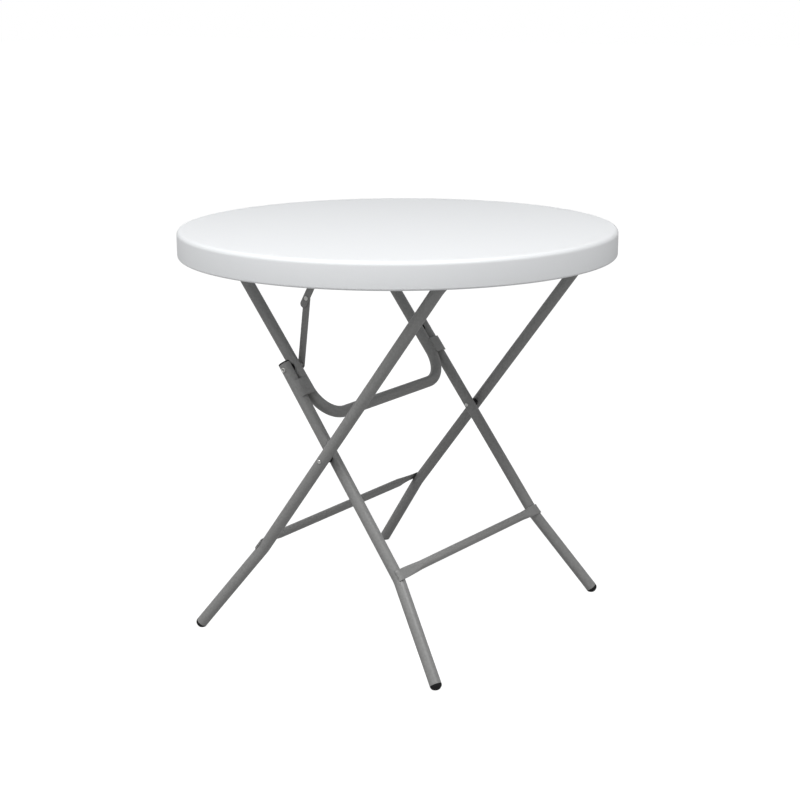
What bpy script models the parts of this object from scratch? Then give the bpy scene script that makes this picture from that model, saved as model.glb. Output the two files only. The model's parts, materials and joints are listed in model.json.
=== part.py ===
"""Round folding table: a hollow blow-moulded top on two crossed frames of steel tube.

The world is in metres with +Z up. X is the direction in which the legs cross, Y runs along every
hinge axis, and the origin is on the floor under the middle of the top. "front" is the -Y side.

The outer frame hangs under the right of the top and its feet stand on the left. The inner frame
stands on the right, crosses the outer frame and ends on the U-bar, which hangs under the left of
the top. A jointed strut on the front side ties the U-bar to the top.
"""

from math import atan2, cos, degrees, pi, radians, sin, tan

import bmesh
import bpy
from mathutils import Matrix, Vector

# --- Tabletop -------------------------------------------------------------------------------------
TOP_RADIUS = 0.400
TABLE_HEIGHT = 0.740
RIM_DEPTH = 0.048
RIM_WIDTH = 0.018
PANEL_DEPTH = 0.0155
SKIN = 0.0025
TOP_EDGE_ROUND = 0.008
LOWER_EDGE_ROUND = 0.004
BLOW_HOLE_RADIUS = 0.004
TOP_STEPS = 64

# --- Linkage, in the XZ plane ---------------------------------------------------------------------
PIVOT_HEIGHT = 0.712
OUTER_PIVOT_X = 0.2805
U_BAR_PIVOT_X = -0.2460
U_BAR_SLOPE = radians(53.0)
U_BAR_TO_INNER_PIVOT = 0.263
CROSSING = Vector((0.0165, 0.0, 0.3580))
FOOT_AXIS_HEIGHT = 0.008

# --- Tubes ----------------------------------------------------------------------------------------
TUBE_RADIUS = 0.01065
TUBE_WALL = 0.0012
TUBE_BEVEL_RESOLUTION = 4
STRETCHER_RADIUS = 0.008
GAP = 0.0003

# Half-widths across the table, at the places named.
OUTER_Y_TOP = 0.2577
OUTER_Y_KINK = 0.2493
OUTER_Y_FOOT = 0.2957
INNER_Y_TOP = 0.2183
INNER_Y_KINK = 0.2283
INNER_Y_FOOT = 0.2769
U_BAR_Y = 0.1948

# Distances along a leg, from its upper pivot.
OUTER_KINK_AT = 0.6816
OUTER_STRETCHER_AT = 0.6797
INNER_KINK_AT = 0.4247
INNER_STRETCHER_AT = 0.4213
INNER_END_BEYOND_PIVOT = 0.0105
INNER_FOOT_X = 0.2713
U_BAR_LENGTH = 0.3705
U_BAR_PAST_PIVOT = 0.004
OUTER_CORNER_RADIUS = 0.036
U_BAR_CORNER_RADIUS = 0.060
KINK_RADIUS = 0.045

# --- Stretcher ends, flattened and laid on the legs -----------------------------------------------
TAB_HALF_WIDTH = 0.0098
TAB_HALF_THICKNESS = 0.0012
TAB_WRAP_END = 45
TAB_CLEARANCE = 0.0005
TAB_FLAT_LENGTH = 0.0120
TAB_TAPER_LENGTH = 0.0450
STRETCHER_SIDES = 16
# The inner stretcher sits a little higher up its front leg than up its back leg.
INNER_STRETCHER_SKEW = 0.0034

# --- Stop plates on the U-bar ---------------------------------------------------------------------
STOP_PLATE_LENGTH = 0.032
STOP_PLATE_THICKNESS = 0.002
STOP_PLATE_FROM_PIVOT = 0.043
STOP_PLATE_LIP_ANGLE = 37

# --- Rivets, screws, caps and feet ----------------------------------------------------------------
RIVET_RADIUS = 0.0026
PIVOT_RIVET_HEAD_RADIUS = 0.0046
CROSSING_RIVET_HEAD_RADIUS = 0.0038
RIVET_HEAD_HEIGHT = 0.0020
RIVET_TAIL_HEIGHT = 0.0016
SPACER_RADIUS = 0.0075
WASHER_RADIUS = 0.0080
SMALL_STEPS = 12
STRUT_RIVET_RADIUS = 0.0022
STRUT_RIVET_HEAD_RADIUS = 0.0042
STRUT_RIVET_HEAD_HEIGHT = 0.0012
PLUG_RADIUS = TUBE_RADIUS - TUBE_WALL - 2 * GAP
CAP_FLANGE = 0.0024
CAP_PLUG_LENGTH = 0.006
FOOT_PLUG_LENGTH = 0.010
FOOT_DOME_LENGTH = 0.0095
SCREW_RADIUS = 0.002
SCREW_HEAD_RADIUS = 0.0042
SCREW_HEAD_HEIGHT = 0.0022
SCREW_LENGTH = 0.009

# --- Pivot straps under the top -------------------------------------------------------------------
STRAP_Y = 0.130
STRAP_WIDTH = 0.025
STRAP_THICKNESS = 0.0016
STRAP_FLANGE = 0.020
STRAP_CLEARANCE = 0.0006

# --- Strut on the front side, from its bracket under the top to the inner pivot -------------------
STRUT_TOP = Vector((-0.0351, 0.0, 0.6915))
STRUT_ELBOW = Vector((-0.0719, 0.0, 0.6256))
STRUT_TAB_Y = (-0.1835, -0.1815)
STRUT_UPPER_Y = (-0.1810, -0.1795)
STRUT_LOWER_Y = (-0.1790, -0.1770)
STRUT_HALF_WIDTH = 0.0072
STRUT_TIP = 0.0195
STRUT_BRACKET_LENGTH = 0.044
STRUT_BRACKET_DEPTH = 0.024
STRUT_BRACKET_SHOULDER = 0.006
STRUT_BRACKET_TAB_RADIUS = 0.009

FRONT, BACK = -1, 1
SIDES = {"front": FRONT, "back": BACK}

# --- Points worked out from the dimensions above --------------------------------------------------
UNDERSIDE = TABLE_HEIGHT - PANEL_DEPTH
OUTER_PIVOT = Vector((OUTER_PIVOT_X, 0, PIVOT_HEIGHT))
U_BAR_PIVOT = Vector((U_BAR_PIVOT_X, 0, PIVOT_HEIGHT))
U_BAR_DIRECTION = Vector((cos(U_BAR_SLOPE), 0, -sin(U_BAR_SLOPE)))
INNER_PIVOT = U_BAR_PIVOT + U_BAR_DIRECTION * U_BAR_TO_INNER_PIVOT
OUTER_DIRECTION = (CROSSING - OUTER_PIVOT).normalized()
# The inner legs' centre line runs through the crossing to the feet, and passes by the upper pivot.
INNER_DIRECTION = (Vector((INNER_FOOT_X, 0, FOOT_AXIS_HEIGHT)) - CROSSING).normalized()
INNER_TOP = CROSSING - INNER_DIRECTION * (CROSSING - INNER_PIVOT).length


def upward_normal(direction):
    """The unit vector across a leg, in the XZ plane, on the leg's upper face."""
    normal = Vector((-direction.z, 0, direction.x))
    return normal if normal.z > 0 else -normal


def length_to_foot(pivot, direction):
    return (FOOT_AXIS_HEIGHT - pivot.z) / direction.z


def leg_y(at, y_top, kink_at, y_kink, foot_at, y_foot):
    """The half-width of a frame at a distance along its leg."""
    if at <= kink_at:
        return y_top + (y_kink - y_top) * at / kink_at
    return y_kink + (y_foot - y_kink) * (at - kink_at) / (foot_at - kink_at)


OUTER_FOOT_AT = length_to_foot(OUTER_PIVOT, OUTER_DIRECTION)
INNER_FOOT_AT = length_to_foot(INNER_TOP, INNER_DIRECTION)


def outer_point(at, side):
    y = leg_y(at, OUTER_Y_TOP, OUTER_KINK_AT, OUTER_Y_KINK, OUTER_FOOT_AT, OUTER_Y_FOOT)
    return OUTER_PIVOT + OUTER_DIRECTION * at + Vector((0, side * y, 0))


def inner_point(at, side):
    y = leg_y(at, INNER_Y_TOP, INNER_KINK_AT, INNER_Y_KINK, INNER_FOOT_AT, INNER_Y_FOOT)
    return INNER_TOP + INNER_DIRECTION * at + Vector((0, side * y, 0))


def u_bar_point(at, side):
    return U_BAR_PIVOT + U_BAR_DIRECTION * at + Vector((0, side * U_BAR_Y, 0))


# --- Scene, materials and bodies ------------------------------------------------------------------
for leftover in list(bpy.data.objects):
    bpy.data.objects.remove(leftover)

PARTS = bpy.data.collections.new("folding_table")
CUTTERS = bpy.data.collections.new("cutters")
for collection in (PARTS, CUTTERS):
    bpy.context.scene.collection.children.link(collection)


def material(name, colour, roughness, metallic):
    made = bpy.data.materials.new(name)
    made.use_nodes = True
    shader = made.node_tree.nodes["Principled BSDF"]
    shader.inputs["Base Color"].default_value = (*colour, 1)
    shader.inputs["Roughness"].default_value = roughness
    shader.inputs["Metallic"].default_value = metallic
    made.diffuse_color = (*colour, 1)
    return made


WHITE_PLASTIC = material("white_hdpe", (0.86, 0.87, 0.88), 0.5, 0.0)
GREY_PAINT = material("grey_powder_coat", (0.21, 0.21, 0.21), 0.45, 0.2)
BRIGHT_METAL = material("bright_zinc", (0.75, 0.75, 0.74), 0.3, 1.0)
BLACK_PLASTIC = material("black_plastic", (0.012, 0.012, 0.013), 0.5, 0.0)


def body(name, pivot):
    """An empty on a joint's axis, which carries the pieces of one moving body."""
    empty = bpy.data.objects.new(name, None)
    empty.location = pivot
    PARTS.objects.link(empty)
    return empty


TOP_BODY = body("top_body", Vector((0, 0, UNDERSIDE)))
OUTER_BODY = body("outer_frame_body", OUTER_PIVOT)
U_BAR_BODY = body("u_bar_body", U_BAR_PIVOT)
INNER_BODY = body("inner_frame_body", INNER_PIVOT)
STRUT_UPPER_BODY = body("strut_upper_body", STRUT_TOP)
STRUT_LOWER_BODY = body("strut_lower_body", STRUT_ELBOW)


def add(obj, carrier, look, smooth_angle=35):
    """Puts a finished piece in the table's collection, on its body and in its material."""
    PARTS.objects.link(obj)
    obj.parent = carrier
    obj.matrix_parent_inverse = Matrix.Translation(-carrier.location)
    obj.data.materials.clear()
    obj.data.materials.append(look)
    obj.data.shade_smooth()
    obj.data.set_sharp_from_angle(angle=radians(smooth_angle))
    return obj


# --- Shapes ---------------------------------------------------------------------------------------
def frame_along(direction, up=Vector((0, 1, 0))):
    """A rotation whose local Z is the direction and whose local X is close to up."""
    z = direction.normalized()
    x = (up - z * up.dot(z)).normalized()
    return Matrix((x, z.cross(x), z)).transposed().to_4x4()


def placed(origin, direction, up=Vector((0, 1, 0))):
    return Matrix.Translation(origin) @ frame_along(direction, up)


def rounded_path(points, radii, steps):
    """The points with each inner corner replaced by an arc of the given radius."""
    path = [points[0]]
    for before, corner, after, radius in zip(points, points[1:], points[2:], radii):
        towards = (before - corner).normalized()
        away = (after - corner).normalized()
        half_angle = towards.angle(away) / 2
        centre = corner + (towards + away).normalized() * (radius / sin(half_angle))
        start = corner + towards * (radius / tan(half_angle))
        across = start - centre
        axis = across.cross(corner - centre).normalized()
        turn = pi - 2 * half_angle
        for step in range(steps + 1):
            path.append(centre + Matrix.Rotation(turn * step / steps, 3, axis) @ across)
    path.append(points[-1])
    return path


def mesh_from_curve(name, curve):
    """A mesh object made from curve data, with the loose caps joined on."""
    holder = bpy.data.objects.new(name + "_curve", curve)
    CUTTERS.objects.link(holder)
    graph = bpy.context.evaluated_depsgraph_get()
    mesh = bpy.data.meshes.new_from_object(holder.evaluated_get(graph))
    bpy.data.objects.remove(holder)
    joined = bmesh.new()
    joined.from_mesh(mesh)
    bmesh.ops.remove_doubles(joined, verts=joined.verts, dist=1e-6)
    bmesh.ops.recalc_face_normals(joined, faces=joined.faces)
    joined.to_mesh(mesh)
    joined.free()
    return bpy.data.objects.new(name, mesh)


def tube(name, path, radius=TUBE_RADIUS, wall=TUBE_WALL):
    """A hollow tube with open ends along a path."""
    curve = bpy.data.curves.new(name, "CURVE")
    curve.dimensions = "3D"
    curve.bevel_depth = radius
    curve.bevel_resolution = TUBE_BEVEL_RESOLUTION
    curve.use_fill_caps = False
    spline = curve.splines.new("POLY")
    spline.points.add(len(path) - 1)
    for point, place in zip(spline.points, path):
        point.co = (*place, 1)
    obj = mesh_from_curve(name, curve)
    shell = obj.modifiers.new("wall", "SOLIDIFY")
    shell.thickness = wall
    shell.offset = -1
    return obj


def turned(name, profile, placement, steps=SMALL_STEPS):
    """A turned piece. The profile is (radius, height) pairs running down its outer side."""
    mesh = bpy.data.meshes.new(name)
    closed = profile[0][0] > 0
    count = len(profile)
    edges = [(i, i + 1) for i in range(count - 1)]
    if closed:
        edges.append((count - 1, 0))
    mesh.from_pydata([(r, 0, z) for r, z in profile], edges, [])
    obj = bpy.data.objects.new(name, mesh)
    obj.matrix_world = placement
    spin = obj.modifiers.new("turn", "SCREW")
    spin.steps = steps
    spin.render_steps = steps
    spin.use_merge_vertices = True
    spin.merge_threshold = 1e-5
    return obj


def arc(centre, radius, start, end, steps):
    """Points (x, y) along a circular arc between two angles in degrees."""
    angles = [radians(start + (end - start) * i / steps) for i in range(steps + 1)]
    return [(centre[0] + radius * cos(a), centre[1] + radius * sin(a)) for a in angles]


def flat_piece(name, loops, thickness, placement):
    """A flat piece cut to an outline. Loops after the first are holes."""
    curve = bpy.data.curves.new(name, "CURVE")
    curve.dimensions = "2D"
    curve.fill_mode = "BOTH"
    curve.extrude = thickness / 2
    for loop in loops:
        spline = curve.splines.new("POLY")
        spline.points.add(len(loop) - 1)
        spline.use_cyclic_u = True
        for point, (x, y) in zip(spline.points, loop):
            point.co = (x, y, 0, 1)
    obj = mesh_from_curve(name, curve)
    obj.matrix_world = placement
    return obj


def strip_outline(path, thickness):
    """The outline of a thin strip that follows a path, on the path's right-hand side."""
    count = len(path)
    offset = []
    for i, point in enumerate(path):
        before = Vector(path[max(i - 1, 0)])
        after = Vector(path[min(i + 1, count - 1)])
        incoming = (Vector(point) - before) if i else (after - Vector(point))
        outgoing = (after - Vector(point)) if i < count - 1 else incoming
        bisector = (incoming.normalized() + outgoing.normalized()).normalized()
        right = Vector((bisector.y, -bisector.x))
        stretch = max(bisector.dot(incoming.normalized()), 0.3)
        offset.append(tuple(Vector(point) + right * (thickness / stretch)))
    return list(path) + offset[::-1]


def block(name, size, placement):
    box = bmesh.new()
    bmesh.ops.create_cube(box, size=1, matrix=Matrix.Diagonal((*size, 1)))
    mesh = bpy.data.meshes.new(name)
    box.to_mesh(mesh)
    box.free()
    obj = bpy.data.objects.new(name, mesh)
    obj.matrix_world = placement
    return obj


def cylinder_cutter(name, start, end, radius, sides=SMALL_STEPS):
    """A rod to cut with, turned about its axis so that its sides never lie along a tube's."""
    off_axis = Vector((0.3, 0.2, 0.93))
    span = end - start
    rod = bmesh.new()
    bmesh.ops.create_cone(
        rod, cap_ends=True, segments=sides, radius1=radius, radius2=radius, depth=span.length
    )
    mesh = bpy.data.meshes.new(name)
    rod.to_mesh(mesh)
    rod.free()
    cutter = bpy.data.objects.new(name, mesh)
    cutter.matrix_world = placed((start + end) / 2, span, off_axis)
    return cutter


def combine(obj, helper, operation):
    """Cuts a helper's shape from a piece, or joins it on, and keeps the helper out of the scene."""
    if helper.name not in CUTTERS.objects:
        helper.hide_render = True
        helper.display_type = "WIRE"
        CUTTERS.objects.link(helper)
    change = obj.modifiers.new(helper.name, "BOOLEAN")
    change.operation = operation
    change.solver = "EXACT"
    change.object = helper


def cut(obj, cutter):
    combine(obj, cutter, "DIFFERENCE")


def join(obj, addition):
    combine(obj, addition, "UNION")


def in_xz(y):
    """The placement that lays a flat piece in the XZ plane at a given Y."""
    return Matrix.Translation((0, y, 0)) @ Matrix.Rotation(pi / 2, 4, "X")


# --- Tabletop -------------------------------------------------------------------------------------
def tabletop_profile():
    """Half of the hollow section, from the middle of the upper face round to the middle inside."""
    bottom = TABLE_HEIGHT - RIM_DEPTH
    rim_inside = TOP_RADIUS - RIM_WIDTH
    big, small = TOP_EDGE_ROUND, LOWER_EDGE_ROUND
    outside = [(0, TABLE_HEIGHT)]
    outside += arc((TOP_RADIUS - big, TABLE_HEIGHT - big), big, 90, 0, 4)
    outside += arc((TOP_RADIUS - small, bottom + small), small, 0, -90, 3)
    outside += arc((rim_inside + small, bottom + small), small, -90, -180, 3)
    outside += [(rim_inside, UNDERSIDE), (BLOW_HOLE_RADIUS, UNDERSIDE)]
    floor = UNDERSIDE + SKIN
    ceiling = TABLE_HEIGHT - SKIN
    inside = [(BLOW_HOLE_RADIUS, floor), (rim_inside + SKIN, floor)]
    inside += [(rim_inside + SKIN, bottom + SKIN + small / 2), (rim_inside + small, bottom + SKIN)]
    inside += [(TOP_RADIUS - small, bottom + SKIN), (TOP_RADIUS - SKIN, bottom + SKIN + small / 2)]
    inside += arc((TOP_RADIUS - big, TABLE_HEIGHT - big), big - SKIN, 0, 90, 3)
    inside += [(0, ceiling)]
    return outside + inside


def make_tabletop():
    top = turned("tabletop", tabletop_profile(), Matrix(), TOP_STEPS)
    return add(top, TOP_BODY, WHITE_PLASTIC, 50)


# --- Pivot straps, with the screws that hold them to the top --------------------------------------
def screw(name, x, y, seat):
    """A pan-head screw whose head is under seat and whose shank runs up into the top."""
    crown = SCREW_HEAD_HEIGHT
    profile = [(0, SCREW_LENGTH), (SCREW_RADIUS * 0.6, SCREW_LENGTH - 0.0005)]
    profile += [(SCREW_RADIUS, SCREW_LENGTH - 0.002), (SCREW_RADIUS, -GAP), (SCREW_HEAD_RADIUS, -GAP)]
    profile += [(SCREW_HEAD_RADIUS, -crown * 0.45), (SCREW_HEAD_RADIUS * 0.7, -crown * 0.85)]
    profile.append((0, -crown))
    obj = turned(name, profile, Matrix.Translation((x, y, seat)))
    return add(obj, TOP_BODY, BRIGHT_METAL)


def screw_hole(name, x, y):
    return cylinder_cutter(
        name,
        Vector((x, y, UNDERSIDE - 0.006)),
        Vector((x, y, UNDERSIDE + SKIN + 0.003)),
        SCREW_RADIUS + GAP,
    )


def strap_path(pivot_x):
    """The strap's upper face: along the top's underside, down round the tube and back up."""
    seat = UNDERSIDE - GAP
    inner = TUBE_RADIUS + STRAP_CLEARANCE
    path = [(pivot_x - inner - STRAP_FLANGE, seat), (pivot_x - inner, seat)]
    path += arc((pivot_x, PIVOT_HEIGHT), inner, 180, 360, 10)
    path += [(pivot_x + inner, seat), (pivot_x + inner + STRAP_FLANGE, seat)]
    return path


def make_straps(tabletop):
    seat = UNDERSIDE - GAP - STRAP_THICKNESS
    screw_from_pivot = TUBE_RADIUS + STRAP_CLEARANCE + STRAP_FLANGE * 0.55
    for frame, pivot_x in (("outer", OUTER_PIVOT_X), ("u_bar", U_BAR_PIVOT_X)):
        for side_name, side in SIDES.items():
            name = f"{frame}_strap_{side_name}"
            y = side * STRAP_Y
            outline = strip_outline(strap_path(pivot_x), STRAP_THICKNESS)
            strap = flat_piece(name, [outline], STRAP_WIDTH, in_xz(y))
            for number, x_side in enumerate((-1, 1), 1):
                x = pivot_x + x_side * screw_from_pivot
                hole = screw_hole(f"{name}_hole_{number}", x, y)
                cut(strap, hole)
                cut(tabletop, hole)
                screw(f"{name}_screw_{number}", x, y, seat)
            add(strap, TOP_BODY, BRIGHT_METAL)


# --- Rivets ---------------------------------------------------------------------------------------
def head(radius, height, base, direction):
    """Profile points of a domed head that starts at base and rises along direction (+1 or -1)."""
    return [
        (radius, base),
        (radius * 0.92, base + direction * height * 0.5),
        (radius * 0.55, base + direction * height * 0.9),
        (0, base + direction * height),
    ]


def along_y(place, side):
    """The placement of a turned piece whose axis runs outward along Y through a point's x and z."""
    return placed(Vector((place.x, 0, place.z)), Vector((0, side, 0)), Vector((1, 0, 0)))


def rivet(name, place, side, ends, head_radius, carrier, has_tail=True):
    """A rivet along Y, headed at its outer end and, with a tail, at its inner end.

    The ends are half-widths, the outer first, and the heads stand beyond them.
    """
    outer_end, inner_end = ends
    top = head(head_radius, RIVET_HEAD_HEIGHT, outer_end, 1)[::-1]
    shank = [(RIVET_RADIUS, outer_end), (RIVET_RADIUS, inner_end)]
    bottom = head(head_radius * 0.9, RIVET_TAIL_HEIGHT, inner_end, -1)
    profile = top + shank + (bottom if has_tail else [(0, inner_end)])
    return add(turned(name, profile, along_y(place, side)), carrier, BRIGHT_METAL)


def ring(name, place, side, y_from, y_to, radius, carrier):
    """A black washer or spacer round a pivot's rivet, between two half-widths with y_to the larger."""
    bore = RIVET_RADIUS + GAP
    profile = [(radius, y_to), (radius, y_from), (bore, y_from), (bore, y_to)]
    return add(turned(name, profile, along_y(place, side)), carrier, BLACK_PLASTIC)


def pivot_hole(name, place, side, tube_y):
    """A cutter for a rivet's hole through a tube whose axis is at a given half-width."""
    reach = 1.5 * TUBE_RADIUS
    start = Vector((place.x, side * (tube_y - reach), place.z))
    end = Vector((place.x, side * (tube_y + reach), place.z))
    return cylinder_cutter(name, start, end, RIVET_RADIUS + GAP)


# --- Stretchers -----------------------------------------------------------------------------------
def squared(value, power):
    """A cosine or sine raised to a power below 1, which fills out the corners of a flattened section."""
    return abs(value) ** power * (1 if value > 0 else -1)


def stretcher_stations():
    """Along one half, from its end inwards.

    Each is (reach beyond the leg's axis, height over it, turn of the section, flatness).
    """
    seat = TUBE_RADIUS + TAB_CLEARANCE + TAB_HALF_THICKNESS
    wrap_steps, taper_steps = 4, 5
    stations = []
    for step in range(wrap_steps + 1):
        angle = radians(TAB_WRAP_END + (90 - TAB_WRAP_END) * step / wrap_steps)
        stations.append((seat * cos(angle), seat * sin(angle), pi / 2 - angle, 1))
    stations.append((-TAB_FLAT_LENGTH, seat, 0, 1))
    for step in range(1, taper_steps + 1):
        share = step / taper_steps
        reach = -TAB_FLAT_LENGTH - TAB_TAPER_LENGTH * share
        stations.append((reach, seat, 0, 1 - share ** 1.3))
    return stations


def stretcher(name, at, leg_point, direction, skew, carrier):
    """A round bar whose ends are pressed flat and bent over the legs' upper faces.

    skew moves the back end down the legs and the front end up them.
    """
    half_width = leg_point(at, BACK).y
    normal = upward_normal(direction)
    halves = [(BACK, station) for station in stretcher_stations()]
    halves += [(FRONT, station) for station in reversed(stretcher_stations())]
    shape = bmesh.new()
    loops = []
    for side, (reach, height, turn, flat) in halves:
        y = half_width + reach
        middle_at = at + skew * side * y / half_width
        across = STRETCHER_RADIUS + (TAB_HALF_WIDTH - STRETCHER_RADIUS) * flat
        thick = STRETCHER_RADIUS + (TAB_HALF_THICKNESS - STRETCHER_RADIUS) * flat
        outward = normal * cos(turn) + Vector((0, side * sin(turn), 0))
        power = 1 - 0.6 * flat
        loop = []
        for step in range(STRETCHER_SIDES):
            angle = 2 * pi * (step + 0.5) / STRETCHER_SIDES
            u = squared(cos(angle), power)
            v = squared(sin(angle), power)
            place = leg_point(middle_at + across * u, side)
            place.y = side * (y + (abs(place.y) - half_width) * flat)
            loop.append(shape.verts.new(place + normal * height + outward * (thick * v)))
        loops.append(loop)
    for first, second in zip(loops, loops[1:]):
        for i in range(STRETCHER_SIDES):
            j = (i + 1) % STRETCHER_SIDES
            shape.faces.new((first[i], first[j], second[j], second[i]))
    shape.faces.new(loops[0])
    shape.faces.new(loops[-1])
    bmesh.ops.recalc_face_normals(shape, faces=shape.faces)
    mesh = bpy.data.meshes.new(name)
    shape.to_mesh(mesh)
    shape.free()
    return add(bpy.data.objects.new(name, mesh), carrier, GREY_PAINT)


# --- Feet and end caps ----------------------------------------------------------------------------
def foot(name, end, direction, carrier):
    """A plug in the end of a leg, with a dome flush with the tube and cut flat where it stands."""
    profile = [(0, FOOT_PLUG_LENGTH), (PLUG_RADIUS, FOOT_PLUG_LENGTH), (PLUG_RADIUS, -GAP)]
    for step in range(6):
        angle = pi / 2 * step / 6
        profile.append((TUBE_RADIUS * cos(angle), -GAP - FOOT_DOME_LENGTH * sin(angle)))
    profile.append((0, -GAP - FOOT_DOME_LENGTH))
    obj = turned(name, profile, placed(end, -direction), 16)
    floor_box = block(name + "_floor", (0.08, 0.08, 0.03), Matrix.Translation((end.x, end.y, -0.015)))
    cut(obj, floor_box)
    return add(obj, carrier, BLACK_PLASTIC)


def end_cap(name, end, direction, carrier):
    """A flat plug in the upper end of a leg, whose flange covers the tube's wall."""
    profile = [(0, CAP_FLANGE + GAP), (TUBE_RADIUS - 0.0008, CAP_FLANGE + GAP)]
    profile += [(TUBE_RADIUS, CAP_FLANGE * 0.6 + GAP), (TUBE_RADIUS, GAP), (PLUG_RADIUS, GAP)]
    profile += [(PLUG_RADIUS, -CAP_PLUG_LENGTH), (0, -CAP_PLUG_LENGTH)]
    return add(turned(name, profile, placed(end, direction)), carrier, BLACK_PLASTIC)


# --- Outer frame: one tube bent into legs and cross bar -------------------------------------------
def make_outer_frame():
    corners = [outer_point(OUTER_FOOT_AT, FRONT), outer_point(OUTER_KINK_AT, FRONT)]
    corners += [outer_point(0, FRONT), outer_point(0, BACK)]
    corners += [outer_point(OUTER_KINK_AT, BACK), outer_point(OUTER_FOOT_AT, BACK)]
    radii = (KINK_RADIUS, OUTER_CORNER_RADIUS, OUTER_CORNER_RADIUS, KINK_RADIUS)
    frame = tube("outer_frame_tube", rounded_path(corners, radii, 4))
    crossing_at = (CROSSING - OUTER_PIVOT).length
    outer_y = abs(outer_point(crossing_at, BACK).y)
    inner_y = abs(inner_point((CROSSING - INNER_PIVOT).length, BACK).y)
    for side_name, side in SIDES.items():
        cut(frame, pivot_hole(f"outer_crossing_hole_{side_name}", CROSSING, side, outer_y))
        ends = (outer_y + TUBE_RADIUS + GAP, inner_y + TUBE_RADIUS + 3 * GAP)
        rivet(
            f"crossing_rivet_{side_name}",
            CROSSING,
            side,
            ends,
            CROSSING_RIVET_HEAD_RADIUS,
            OUTER_BODY,
            has_tail=False,
        )
        ring(
            f"crossing_spacer_{side_name}",
            CROSSING,
            side,
            inner_y + TUBE_RADIUS + 2 * GAP,
            outer_y - TUBE_RADIUS - GAP,
            SPACER_RADIUS,
            OUTER_BODY,
        )
        end = outer_point(OUTER_FOOT_AT, side)
        leg = (end - outer_point(OUTER_KINK_AT, side)).normalized()
        foot(f"outer_foot_{side_name}", end, leg, OUTER_BODY)
    add(frame, OUTER_BODY, GREY_PAINT)
    stretcher("outer_stretcher", OUTER_STRETCHER_AT, outer_point, OUTER_DIRECTION, 0, OUTER_BODY)


# --- Inner frame: two legs and their stretcher ----------------------------------------------------
def make_inner_frame():
    crossing_at = (CROSSING - INNER_PIVOT).length
    crossing_y = abs(inner_point(crossing_at, BACK).y)
    for side_name, side in SIDES.items():
        top_end = inner_point(-INNER_END_BEYOND_PIVOT, side)
        corners = [top_end, inner_point(INNER_KINK_AT, side), inner_point(INNER_FOOT_AT, side)]
        leg = tube(f"inner_leg_{side_name}", rounded_path(corners, (KINK_RADIUS,), 4))
        cut(leg, pivot_hole(f"inner_pivot_hole_{side_name}", INNER_PIVOT, side, INNER_Y_TOP))
        cut(leg, pivot_hole(f"inner_crossing_hole_{side_name}", CROSSING, side, crossing_y))
        add(leg, INNER_BODY, GREY_PAINT)
        # The crossing rivet's clenched end, which turns with this frame.
        tail = [(0, crossing_y + TUBE_RADIUS - GAP), (RIVET_RADIUS, crossing_y + TUBE_RADIUS - GAP)]
        tail += [(RIVET_RADIUS, crossing_y - TUBE_RADIUS - GAP)]
        tail += head(CROSSING_RIVET_HEAD_RADIUS, RIVET_HEAD_HEIGHT, crossing_y - TUBE_RADIUS - GAP, -1)
        tail_rivet = turned(f"crossing_rivet_tail_{side_name}", tail, along_y(CROSSING, side))
        add(tail_rivet, INNER_BODY, BRIGHT_METAL)
        upper_leg = (corners[0] - corners[1]).normalized()
        lower_leg = (corners[2] - corners[1]).normalized()
        end_cap(f"inner_end_cap_{side_name}", top_end, upper_leg, INNER_BODY)
        foot(f"inner_foot_{side_name}", corners[2], lower_leg, INNER_BODY)
    stretcher(
        "inner_stretcher",
        INNER_STRETCHER_AT,
        inner_point,
        INNER_DIRECTION,
        INNER_STRETCHER_SKEW,
        INNER_BODY,
    )


# --- Stop plates: saddles fixed to the U-bar, which lie over the inner legs -----------------------
def stop_plate(name, side):
    seat = TUBE_RADIUS + GAP
    leg_y_here = abs(inner_point(STOP_PLATE_FROM_PIVOT, side).y)
    underside = arc((leg_y_here, 0), seat, STOP_PLATE_LIP_ANGLE, 90, 5)
    underside.append((U_BAR_Y, seat))
    across = Vector((0, side, 0))
    normal = upward_normal(U_BAR_DIRECTION)
    axes = Matrix((across, normal, across.cross(normal))).transposed().to_4x4()
    placement = Matrix.Translation(INNER_PIVOT + U_BAR_DIRECTION * STOP_PLATE_FROM_PIVOT) @ axes
    outline = strip_outline(underside, STOP_PLATE_THICKNESS)
    return add(flat_piece(name, [outline], STOP_PLATE_LENGTH, placement), U_BAR_BODY, GREY_PAINT)


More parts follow.
